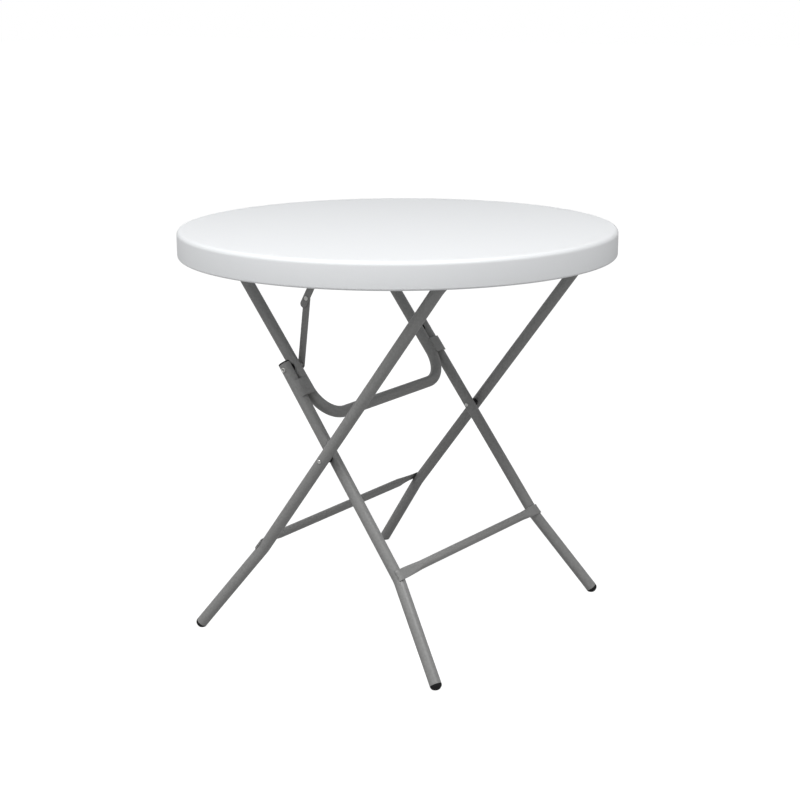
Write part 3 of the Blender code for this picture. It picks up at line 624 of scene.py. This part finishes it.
def make_tabletop():
    profile = rim_profile()
    shape = turned_shape(profile, Matrix(), TOP_SIDES)
    field = [e for e in shape.edges if e.is_boundary]
    cup = arc((DIMPLE_RADIUS, DIMPLE_EDGE_ROUND), DIMPLE_EDGE_ROUND, -90, -180, 3)
    cup = [(radius, UNDERSIDE + height) for radius, height in cup]
    cup += [(DIMPLE_RADIUS * 0.72, UNDERSIDE + DIMPLE_DEPTH * 0.8)]
    cup += [(DIMPLE_RADIUS * 0.6, UNDERSIDE + DIMPLE_DEPTH * 0.96)]
    cup += [(DIMPLE_RADIUS * 0.4, UNDERSIDE + DIMPLE_DEPTH)]
    for x, y in dimple_places():
        rings = [add_ring(shape, x, y, radius, z) for radius, z in cup]
        for i in range(DIMPLE_SIDES):
            field.append(shape.edges.new((rings[0][i], rings[0][(i + 1) % DIMPLE_SIDES])))
        for first, second in zip(rings, rings[1:]):
            skin_between(shape, first, second)
        shape.faces.new(rings[-1])
    bmesh.ops.triangle_fill(shape, use_beauty=True, edges=field)
    return finish_piece("tabletop_shell", shape, "top", WHITE_PLASTIC, ("tabletop",), 50)


# --- Straps and screws under the top --------------------------------------------------------------
def strap_path(pivot):
    seat = UNDERSIDE - GAP
    inner = TUBE_RADIUS + STRAP_CLEARANCE
    left, right = pivot.x - inner, pivot.x + inner
    path = [(left - STRAP_FLANGE, seat)]
    path += arc((left - STRAP_BEND, seat - STRAP_BEND), STRAP_BEND, 90, 0, 5)
    path += arc((pivot.x, pivot.z), inner, 180, 360, 32)
    path += arc((right + STRAP_BEND, seat - STRAP_BEND), STRAP_BEND, 180, 90, 5)
    path.append((right + STRAP_FLANGE, seat))
    return path


def cross_slot_screw(name, x, y, seat):
    """A pan-head screw from below, with a cross slot in its head drawn as painted shade: dark bars set into the
    head.
    """
    profile = [(0, SCREW_LENGTH), (SCREW_RADIUS * 0.5, SCREW_LENGTH - 0.0012)]
    for turn in range(SCREW_THREADS):
        z = SCREW_LENGTH - SCREW_POINT - turn * SCREW_PITCH
        profile += [(SCREW_RADIUS, z), (SCREW_RADIUS * 0.8, z - SCREW_PITCH / 2)]
    profile += [(SCREW_RADIUS, -GAP), (SCREW_HEAD_RADIUS, -GAP)]
    # The head is straight for a short edge and then rounds in to its crown.
    crown = SCREW_HEAD_RADIUS * 0.55
    rounding = SCREW_HEAD_RADIUS - crown
    drop = SCREW_HEAD_HEIGHT - GAP - SCREW_EDGE
    for radius, z in arc((crown, 0), rounding, 0, -90, 6):
        profile.append((radius, z / rounding * drop - GAP - SCREW_EDGE))
    profile.append((0, -SCREW_HEAD_HEIGHT))
    shape = turned_shape(profile, Matrix.Translation((x, y, seat)), 24)
    finish_piece(name + "_fine", shape, "top", BRIGHT_METAL, (name,))
    # Dark bars set flush into the head stand in for the cut slots: painted shade, not a recess.
    slot_depth = SCREW_HEAD_HEIGHT * 0.7
    slot_place = Matrix.Translation((x, y, seat - SCREW_HEAD_HEIGHT + slot_depth / 2 - 0.0001))
    for turn in (0, 90):
        outline = rectangle(2 * SCREW_SLOT_REACH, SCREW_SLOT)
        turned = slot_place @ Matrix.Rotation(radians(turn + SCREW_SLOT_TURN), 4, "Z")
        slot = plate_shape(outline, slot_depth, turned, 0.0001)
        finish_piece(f"{name}_slot_{turn}", slot, "top", PAINTED_SLOT_SHADE)


def make_straps():
    seat = UNDERSIDE - GAP - STRAP_THICKNESS
    screw_from_pivot = TUBE_RADIUS + STRAP_CLEARANCE + STRAP_FLANGE * STRAP_SCREW_AT
    for frame_name, pivot in (("outer", OUTER_PIVOT), ("u_bar", U_BAR_PIVOT)):
        for side_name, side in SIDES.items():
            name = f"{frame_name}_strap_{side_name}"
            y = side * STRAP_Y
            outline = strip_outline(strap_path(pivot), STRAP_THICKNESS)
            shape = plate_shape(outline, STRAP_WIDTH, in_xz(y))
            finish_piece(name + "_fine", shape, "top", BRIGHT_METAL, (name,))
            for number, x_side in enumerate((-1, 1), 1):
                x = pivot.x + x_side * screw_from_pivot
                cross_slot_screw(f"{name}_screw_{number}", x, y, seat)


# --- Rivets, spacers and washers ------------------------------------------------------------------
def dome(radius, height, base, direction, steps=7):
    """Profile points of a domed head on a short straight edge, from its rim to the axis."""
    edge = height * 0.25
    points = [(radius, base)]
    for step in range(steps + 1):
        angle = pi / 2 * step / steps
        z = edge + (height - edge) * sin(angle)
        points.append((radius * cos(angle) if step < steps else 0, base + direction * z))
    return points


def hollow_head(radius, height, base):
    """Profile points, from the axis out to the rim, of a rolled head round an open bore."""
    bore = radius * 0.40
    middle = (radius + bore) / 2
    half = (radius - bore) / 2
    floor = base - HOLLOW_HEAD_DEPTH
    profile = [(0, floor), (bore * 0.95, floor)]
    for step in range(11):
        angle = pi * (1 - step / 10)
        profile.append((middle + half * cos(angle), base + height * sin(angle)))
    return profile


def rivet(name, place, side, ends, head_profile, body, tail=True, tail_radius=PIVOT_HEAD_RADIUS):
    """A rivet along Y between two half-widths, the outer first."""
    outer_end, inner_end = ends
    profile = head_profile + [(RIVET_RADIUS, outer_end), (RIVET_RADIUS, inner_end)]
    profile += dome(tail_radius, TAIL_HEIGHT, inner_end, -1) if tail else [(0, inner_end)]
    finish_piece(name + "_fine", turned_shape(profile, along_y(place, side)), body, BRIGHT_METAL, (name,))


def ring(name, place, side, y_from, y_to, radius, body):
    """A washer or spacer round a rivet, with rounded outer edges."""
    bore = RIVET_RADIUS + GAP
    edge = min(0.0005, (y_to - y_from) / 3)
    profile = [(bore, y_from)]
    profile += arc((radius - edge, y_from + edge), edge, -90, 0, 4)
    profile += arc((radius - edge, y_to - edge), edge, 0, 90, 4)
    profile.append((bore, y_to))
    finish_piece(name + "_fine", turned_shape(profile, along_y(place, side)), body, BLACK_PLASTIC, (name,))


def make_pivot_fittings():
    outer_y = outer_point((CROSSING - OUTER_PIVOT).length, BACK).y
    inner_y = inner_point((CROSSING - INNER_PIVOT).length, BACK).y
    for side_name, side in SIDES.items():
        outer_end = outer_y + TUBE_RADIUS + GAP
        rivet(
            f"crossing_rivet_{side_name}",
            CROSSING,
            side,
            (outer_end, inner_y + TUBE_RADIUS + 3 * GAP),
            dome(CROSSING_HEAD_RADIUS, HEAD_HEIGHT, outer_end, 1)[::-1],
            "outer_frame",
            tail=False,
        )
        tail_seat = inner_y - TUBE_RADIUS - GAP
        tail_top = inner_y + TUBE_RADIUS - GAP
        tail = [(0, tail_top), (RIVET_RADIUS, tail_top), (RIVET_RADIUS, tail_seat)]
        tail += dome(CROSSING_HEAD_RADIUS, HEAD_HEIGHT, tail_seat, -1)
        name = f"crossing_rivet_tail_{side_name}"
        shape = turned_shape(tail, along_y(CROSSING, side))
        finish_piece(name + "_fine", shape, "inner_frame", BRIGHT_METAL, (name,))
        ring(
            f"crossing_spacer_{side_name}",
            CROSSING,
            side,
            inner_y + TUBE_RADIUS + 2 * GAP,
            outer_y - TUBE_RADIUS - GAP,
            SPACER_RADIUS,
            "outer_frame",
        )
        pivot_end = INNER_Y_TOP + TUBE_RADIUS + GAP
        rivet(
            f"pivot_rivet_{side_name}",
            INNER_PIVOT,
            side,
            (pivot_end, U_BAR_Y - TUBE_RADIUS - GAP),
            hollow_head(PIVOT_HEAD_RADIUS, HEAD_HEIGHT, pivot_end),
            "u_bar_frame",
            tail_radius=PIVOT_HEAD_RADIUS * 0.9,
        )
        ring(
            f"pivot_washer_{side_name}",
            INNER_PIVOT,
            side,
            U_BAR_Y + TUBE_RADIUS + GAP,
            INNER_Y_TOP - TUBE_RADIUS - 2 * GAP,
            WASHER_RADIUS,
            "u_bar_frame",
        )


# --- Frames ---------------------------------------------------------------------------------------
def make_outer_tube():
    corners = [outer_point(OUTER_FOOT_AT, FRONT), outer_point(OUTER_KINK_AT, FRONT)]
    corners += [outer_point(0, FRONT), outer_point(0, BACK)]
    corners += [outer_point(OUTER_KINK_AT, BACK), outer_point(OUTER_FOOT_AT, BACK)]
    radii = (KINK_RADIUS, OUTER_CORNER_RADIUS, OUTER_CORNER_RADIUS, KINK_RADIUS)
    tube("outer_tube", rounded_path(corners, radii, 16), "outer_frame", ("outer_frame_tube",))
    for side_name, side in SIDES.items():
        end = outer_point(OUTER_FOOT_AT, side)
        foot(f"outer_foot_{side_name}", end, end - outer_point(OUTER_KINK_AT, side), "outer_frame")


def make_inner_tubes():
    for side_name, side in SIDES.items():
        corners = [inner_point(-INNER_END_BEYOND_PIVOT, side), inner_point(INNER_KINK_AT, side)]
        corners.append(inner_point(INNER_FOOT_AT, side))
        path = rounded_path(corners, (KINK_RADIUS,), 16)
        tube(f"inner_tube_{side_name}", path, "inner_frame", (f"inner_leg_{side_name}",))
        end_cap(f"inner_end_cap_{side_name}", corners[0], corners[0] - corners[1], "inner_frame")
        foot(f"inner_foot_{side_name}", corners[2], corners[2] - corners[1], "inner_frame")


def foot(name, end, direction, body):
    """A plug with a dome flush with the tube, cut flat where it stands."""
    profile = [(0, FOOT_PLUG_LENGTH), (PLUG_RADIUS, FOOT_PLUG_LENGTH), (PLUG_RADIUS, -GAP)]
    profile.append((TUBE_RADIUS - FOOT_EDGE, -GAP))
    steps = 14
    for step in range(steps + 1):
        angle = pi / 2 * step / steps
        z = FOOT_EDGE + (FOOT_DOME_LENGTH - FOOT_EDGE) * sin(angle)
        profile.append((TUBE_RADIUS * cos(angle) if step < steps else 0, -GAP - z))
    shape = turned_shape(profile, placed(end, -direction))
    geometry = list(shape.verts) + list(shape.edges) + list(shape.faces)
    cut = bmesh.ops.bisect_plane(
        shape, geom=geometry, plane_co=(0, 0, 0), plane_no=(0, 0, -1), clear_outer=True
    )
    rim = [part for part in cut["geom_cut"] if isinstance(part, bmesh.types.BMEdge)]
    bmesh.ops.edgeloop_fill(shape, edges=rim)
    finish_piece(name + "_fine", shape, body, BLACK_PLASTIC, (name,))


def end_cap(name, end, direction, body):
    """A flat plug in a leg's upper end, whose flange covers the tube's wall."""
    top = CAP_FLANGE + GAP
    profile = [(0, top), (TUBE_RADIUS * 0.45, top)]
    profile += arc((TUBE_RADIUS - CAP_EDGE, top - CAP_EDGE), CAP_EDGE, 90, 0, 5)
    profile += [(TUBE_RADIUS, GAP), (PLUG_RADIUS, GAP)]
    profile += [(PLUG_RADIUS, -CAP_PLUG_LENGTH), (0, -CAP_PLUG_LENGTH)]
    finish_piece(name + "_fine", turned_shape(profile, placed(end, direction)), body, BLACK_PLASTIC, (name,))


def squared(value, power):
    """A cosine or sine raised to a power below 1, which fills out the corners of a flattened section."""
    return abs(value) ** power * (1 if value > 0 else -1)


def stretcher_stations():
    """Along one half, from its end inwards.

    Each is (reach beyond the leg's axis, height over it, turn of the section, flatness).
    """
    seat = TUBE_RADIUS + TAB_CLEARANCE + TAB_HALF_THICKNESS
    wrap_steps, taper_steps = 10, 20
    stations = []
    for step in range(wrap_steps + 1):
        angle = radians(TAB_WRAP_END + (90 - TAB_WRAP_END) * step / wrap_steps)
        stations.append((seat * cos(angle), seat * sin(angle), pi / 2 - angle, 1))
    stations.append((-TAB_FLAT_LENGTH, seat, 0, 1))
    for step in range(1, taper_steps + 1):
        share = step / taper_steps
        reach = -TAB_FLAT_LENGTH - TAB_TAPER_LENGTH * share
        stations.append((reach, seat, 0, 1 - share ** 1.3))
    return stations


def stretcher(name, at, leg_point, direction, skew, body):
    """A round bar whose ends are pressed flat, bent over the legs' upper faces and welded there.

    skew moves the back end down the legs and the front end up them.
    """
    half_width = leg_point(at, BACK).y
    normal = upward_normal(direction)
    halves = [(BACK, station) for station in stretcher_stations()]
    halves += [(FRONT, station) for station in reversed(stretcher_stations())]
    shape = bmesh.new()
    loops = []
    for side, (reach, height, turn, flat) in halves:
        y = half_width + reach
        middle_at = at + skew * side * y / half_width
        across = STRETCHER_RADIUS + (TAB_HALF_WIDTH - STRETCHER_RADIUS) * flat
        thick = STRETCHER_RADIUS + (TAB_HALF_THICKNESS - STRETCHER_RADIUS) * flat
        outward = normal * cos(turn) + Vector((0, side * sin(turn), 0))
        power = 1 - 0.6 * flat
        loop = []
        for step in range(TUBE_SIDES):
            angle = 2 * pi * (step + 0.5) / TUBE_SIDES
            u = squared(cos(angle), power)
            v = squared(sin(angle), power)
            place = leg_point(middle_at + across * u, side)
            place.y = side * (y + (abs(place.y) - half_width) * flat)
            loop.append(shape.verts.new(place + normal * height + outward * (thick * v)))
        loops.append(loop)
    for first, second in zip(loops, loops[1:]):
        skin_between(shape, first, second)
    shape.faces.new(loops[0])
    shape.faces.new(loops[-1])
    finish_piece(name + "_fine", shape, body, GREY_PAINT, (name,))
    angle = radians(TAB_WRAP_END)
    for side_name, side in SIDES.items():
        middle_at = at + skew * side
        path = []
        for step in range(9):
            along = TAB_HALF_WIDTH * (step / 4 - 1)
            path.append(leg_point(middle_at + along, side))
            offset = normal * sin(angle) + Vector((0, side * cos(angle), 0))
            path[-1] += offset * (TUBE_RADIUS + TAB_HALF_THICKNESS * 0.8)
        weld_bead(f"{name}_weld_{side_name}", path, body, LONG_BEAD_RADIUS)


def stop_plate(side_name, side):
    """A saddle welded to the U-bar, which lies over the inner leg."""
    name = f"stop_plate_{side_name}"
    seat = TUBE_RADIUS + GAP
    leg_y_here = abs(inner_point(STOP_PLATE_FROM_PIVOT, side).y)
    underside = arc((leg_y_here, 0), seat, STOP_PLATE_LIP_ANGLE, 90, 14)
    underside.append((U_BAR_Y, seat))
    across = Vector((0, side, 0))
    normal = upward_normal(U_BAR_DIRECTION)
    axes = Matrix((across, normal, across.cross(normal))).transposed().to_4x4()
    centre = INNER_PIVOT + U_BAR_DIRECTION * STOP_PLATE_FROM_PIVOT
    placement = Matrix.Translation(centre) @ axes
    outline = strip_outline(underside, STOP_PLATE_THICKNESS)
    shape = plate_shape(outline, STOP_PLATE_LENGTH, placement, 0.0005)
    finish_piece(name + "_fine", shape, "u_bar_frame", GREY_PAINT, (name,))
    half = U_BAR_DIRECTION * (STOP_PLATE_LENGTH / 2 - 0.002)
    foot_line = centre + Vector((0, side * (U_BAR_Y - 0.0006), 0)) + normal * seat
    weld_bead(f"{name}_weld", [foot_line - half, foot_line + half], "u_bar_frame", LONG_BEAD_RADIUS)


def make_u_bar():
    corners = [u_bar_point(-U_BAR_PAST_PIVOT, FRONT), u_bar_point(U_BAR_LENGTH, FRONT)]
    corners += [u_bar_point(U_BAR_LENGTH, BACK), u_bar_point(-U_BAR_PAST_PIVOT, BACK)]
    path = rounded_path(corners, (U_BAR_CORNER_RADIUS, U_BAR_CORNER_RADIUS), 24)
    tube("u_bar_tube", path, "u_bar_frame", ("u_bar",))
    reach = Vector((0, U_BAR_Y - TUBE_RADIUS * 0.55, 0))
    ends = [U_BAR_PIVOT - reach, U_BAR_PIVOT + reach]
    tube("u_bar_cross_tube", ends, "u_bar_frame", ("u_bar_cross_bar",))
    normal = upward_normal(U_BAR_DIRECTION)
    for side_name, side in SIDES.items():
        stop_plate(side_name, side)
        seam = []
        for step in range(49):
            angle = 2 * pi * step / 48
            inset = TUBE_RADIUS * abs(cos(angle)) + 0.0004
            around = U_BAR_DIRECTION * cos(angle) + normal * sin(angle)
            seam.append(U_BAR_PIVOT + around * TUBE_RADIUS + Vector((0, side * (U_BAR_Y - inset), 0)))
        weld_bead(f"u_bar_cross_weld_{side_name}", seam, "u_bar_frame", closed=True)


# --- Strut ----------------------------------------------------------------------------------------
def slot_outline(start, end, half_width):
    """A bar with round ends about start and end."""
    line = (end - start).normalized()
    heading = degrees(atan2(line.z, line.x))
    outline = arc((end.x, end.z), half_width, heading - 90, heading + 90, 20)
    return outline + arc((start.x, start.z), half_width, heading + 90, heading + 270, 20)


def strut_rivet(name, place, outer_seat, inner_seat, body, neck_end=None, inner_head=True):
    """A small rivet along Y on the front side, between two half-widths.

    A neck as wide as the head may run in from the outer seat to neck_end.
    """
    radius, height = STRUT_HEAD_RADIUS, STRUT_HEAD_HEIGHT
    profile = dome(radius, height, outer_seat, 1)[::-1]
    if neck_end is not None:
        profile.append((radius, neck_end))
    shank_start = outer_seat if neck_end is None else neck_end
    profile += [(STRUT_RIVET_RADIUS, shank_start), (STRUT_RIVET_RADIUS, inner_seat)]
    profile += dome(radius, height, inner_seat, -1) if inner_head else [(0, inner_seat)]
    finish_piece(name + "_fine", turned_shape(profile, along_y(place, FRONT)), body, BRIGHT_METAL, (name,))


def strut_bar(name, start, end, y_range, body, replaced):
    """A flat bar with round ends, across the given range of Y."""
    shape = plate_shape(
        slot_outline(start, end, STRUT_HALF_WIDTH), y_range[1] - y_range[0], in_xz(sum(y_range) / 2)
    )
    finish_piece(name, shape, body, GREY_PAINT, (replaced,))


def make_strut():
    """Two flat bars joined at the elbow; the upper one runs on past it to its tip."""
    upper_line = (STRUT_ELBOW - STRUT_TOP).normalized()
    tip = STRUT_ELBOW + upper_line * (STRUT_TIP - STRUT_HALF_WIDTH)
    strut_bar("strut_upper_bar", STRUT_TOP, tip, STRUT_UPPER_Y, "strut_upper", "strut_upper_link")
    strut_bar("strut_lower_bar", STRUT_ELBOW, INNER_PIVOT, STRUT_LOWER_Y, "strut_lower", "strut_lower_link")

    tab_face = GAP - STRUT_TAB_Y[0]
    upper_faces = (GAP - STRUT_UPPER_Y[0], -STRUT_UPPER_Y[1])
    lower_faces = (GAP - STRUT_LOWER_Y[0], -STRUT_LOWER_Y[1] - GAP)
    strut_rivet("strut_top_rivet", STRUT_TOP, tab_face, upper_faces[1], "top", inner_head=False)
    strut_rivet("strut_elbow_rivet", STRUT_ELBOW, upper_faces[0], lower_faces[1], "strut_upper")
    seat = U_BAR_Y - TUBE_RADIUS - 3 * GAP - TAIL_HEIGHT - STRUT_HEAD_HEIGHT
    strut_rivet("strut_lower_rivet", INNER_PIVOT, seat, lower_faces[1], "strut_lower", lower_faces[0])


def make_strut_bracket():
    """An angle under the top: a foot screwed to it, and a tab down to the strut."""
    seat = UNDERSIDE - GAP
    thickness = STRUT_TAB_Y[1] - STRUT_TAB_Y[0]
    left = STRUT_TOP.x - STRUT_BRACKET_LENGTH / 2
    right = STRUT_TOP.x + STRUT_BRACKET_LENGTH / 2
    shoulder = seat - STRUT_BRACKET_SHOULDER
    outline = [(right, seat - 0.001), (left, seat - 0.001), (left, shoulder)]
    outline += arc((STRUT_TOP.x, STRUT_TOP.z), STRUT_BRACKET_TAB_RADIUS, 180, 360, 24)
    outline.append((right, shoulder))
    shape = plate_shape(outline, thickness, in_xz(sum(STRUT_TAB_Y) / 2))
    finish_piece("strut_bracket_tab", shape, "top", BRIGHT_METAL, ("strut_bracket",))
    foot_y = STRUT_TAB_Y[0] + STRUT_BRACKET_DEPTH / 2
    centre = Vector((STRUT_TOP.x, foot_y, seat - thickness / 2))
    outline = rectangle(STRUT_BRACKET_LENGTH, STRUT_BRACKET_DEPTH)
    shape = plate_shape(outline, thickness, Matrix.Translation(centre), 0.0006)
    finish_piece("strut_bracket_foot", shape, "top", BRIGHT_METAL)
    for number, x_side in enumerate((-1, 1), 1):
        x = STRUT_TOP.x + x_side * STRUT_BRACKET_LENGTH * 0.3
        cross_slot_screw(f"strut_bracket_screw_{number}", x, foot_y + 0.003, seat - thickness)


# --- The CAD nodes take the looks of their slots --------------------------------------------------
def dress_cad_nodes():
    slot_of_node = {entry["node"]: entry["material_slot"] for entry in frame["record"]["subparts"]}
    for name, obj in NODES.items():
        obj.data.materials.clear()
        obj.data.materials.append(LOOK_OF_SLOT[slot_of_node[name]])


# --- Studio ---------------------------------------------------------------------------------------
def make_floor():
    shape = bmesh.new()
    bmesh.ops.create_grid(shape, x_segments=1, y_segments=1, size=30)
    mesh = bpy.data.meshes.new("floor")
    shape.to_mesh(mesh)
    shape.free()
    made = Finish("floor_paint", (0.25, 0.25, 0.25), 0.9)
    made.vary("Roughness", made.noise(2), 0.86, 0.94)
    made.shader.inputs["Emission Color"].default_value = (1, 1, 1, 1)
    ray = made.tree.nodes.new("ShaderNodeLightPath")
    made.vary("Emission Strength", ray.outputs["Is Camera Ray"], FLOOR_BOUNCE, FLOOR_WHITE)
    mesh.materials.append(made.material)
    floor = bpy.data.objects.new("floor", mesh)
    floor.location.z = -0.0005
    bpy.context.scene.collection.objects.link(floor)


def area_light(name, place, size, power):
    light = bpy.data.lights.new(name, "AREA")
    light.shape = "DISK"
    light.size = size
    light.energy = power
    obj = bpy.data.objects.new(name, light)
    obj.location = place
    obj.rotation_euler = (Vector(LIGHT_AIM) - Vector(place)).to_track_quat("-Z", "Y").to_euler()
    bpy.context.scene.collection.objects.link(obj)


def make_sky():
    """Soft light that is strongest at the horizon. The background itself is plain white."""
    world = bpy.data.worlds.new("studio")
    bpy.context.scene.world = world
    world.use_nodes = True
    tree = world.node_tree
    place = tree.nodes.new("ShaderNodeTexCoord")
    parts = tree.nodes.new("ShaderNodeSeparateXYZ")
    rise = tree.nodes.new("ShaderNodeMapRange")
    rise.inputs["From Min"].default_value = 0.0
    rise.inputs["From Max"].default_value = 0.9
    rise.inputs["To Min"].default_value = HORIZON_LIGHT
    rise.inputs["To Max"].default_value = OVERHEAD_LIGHT
    rise.interpolation_type = "SMOOTHSTEP"
    tree.links.new(place.outputs["Generated"], parts.inputs["Vector"])
    tree.links.new(parts.outputs["Z"], rise.inputs["Value"])
    lighting = tree.nodes["Background"]
    tree.links.new(rise.outputs["Result"], lighting.inputs["Strength"])
    lighting.inputs["Color"].default_value = (1, 1, 1, 1)
    backdrop = tree.nodes.new("ShaderNodeBackground")
    backdrop.inputs["Color"].default_value = (1, 1, 1, 1)
    backdrop.inputs["Strength"].default_value = 1.0
    ray = tree.nodes.new("ShaderNodeLightPath")
    mix = tree.nodes.new("ShaderNodeMixShader")
    tree.links.new(ray.outputs["Is Camera Ray"], mix.inputs["Fac"])
    tree.links.new(lighting.outputs["Background"], mix.inputs[1])
    tree.links.new(backdrop.outputs["Background"], mix.inputs[2])
    tree.links.new(mix.outputs["Shader"], tree.nodes["World Output"].inputs["Surface"])


def make_lights():
    make_sky()
    area_light("key", KEY_PLACE, KEY_SIZE, KEY_POWER)
    area_light("fill", FILL_PLACE, FILL_SIZE, FILL_POWER)
    bpy.context.scene.view_settings.view_transform = "Standard"


def make_camera():
    back = Vector((
        sin(CAMERA_AZIMUTH) * cos(CAMERA_ELEVATION),
        -cos(CAMERA_AZIMUTH) * cos(CAMERA_ELEVATION),
        sin(CAMERA_ELEVATION),
    ))
    right = Vector((cos(CAMERA_AZIMUTH), sin(CAMERA_AZIMUTH), 0))
    up = back.cross(right)
    rolled_right = right * cos(CAMERA_ROLL) + up * sin(CAMERA_ROLL)
    rolled_up = up * cos(CAMERA_ROLL) - right * sin(CAMERA_ROLL)
    camera = bpy.data.cameras.new("camera")
    camera.lens = CAMERA_LENS
    camera.sensor_width = 36
    obj = bpy.data.objects.new("camera", camera)
    axes = Matrix((rolled_right, rolled_up, back)).transposed().to_4x4()
    obj.matrix_world = Matrix.Translation(CAMERA_TARGET + back * CAMERA_DISTANCE) @ axes
    bpy.context.scene.collection.objects.link(obj)
    bpy.context.scene.camera = obj


dress_cad_nodes()
make_tabletop()
make_straps()
make_strut_bracket()
make_strut()
make_outer_tube()
make_inner_tubes()
make_u_bar()
stretcher("outer_stretcher", OUTER_STRETCHER_AT, outer_point, OUTER_DIRECTION, 0, "outer_frame")
stretcher(
    "inner_stretcher",
    INNER_STRETCHER_AT,
    inner_point,
    INNER_DIRECTION,
    INNER_STRETCHER_SKEW,
    "inner_frame",
)
make_pivot_fittings()
make_floor()
make_lights()
make_camera()
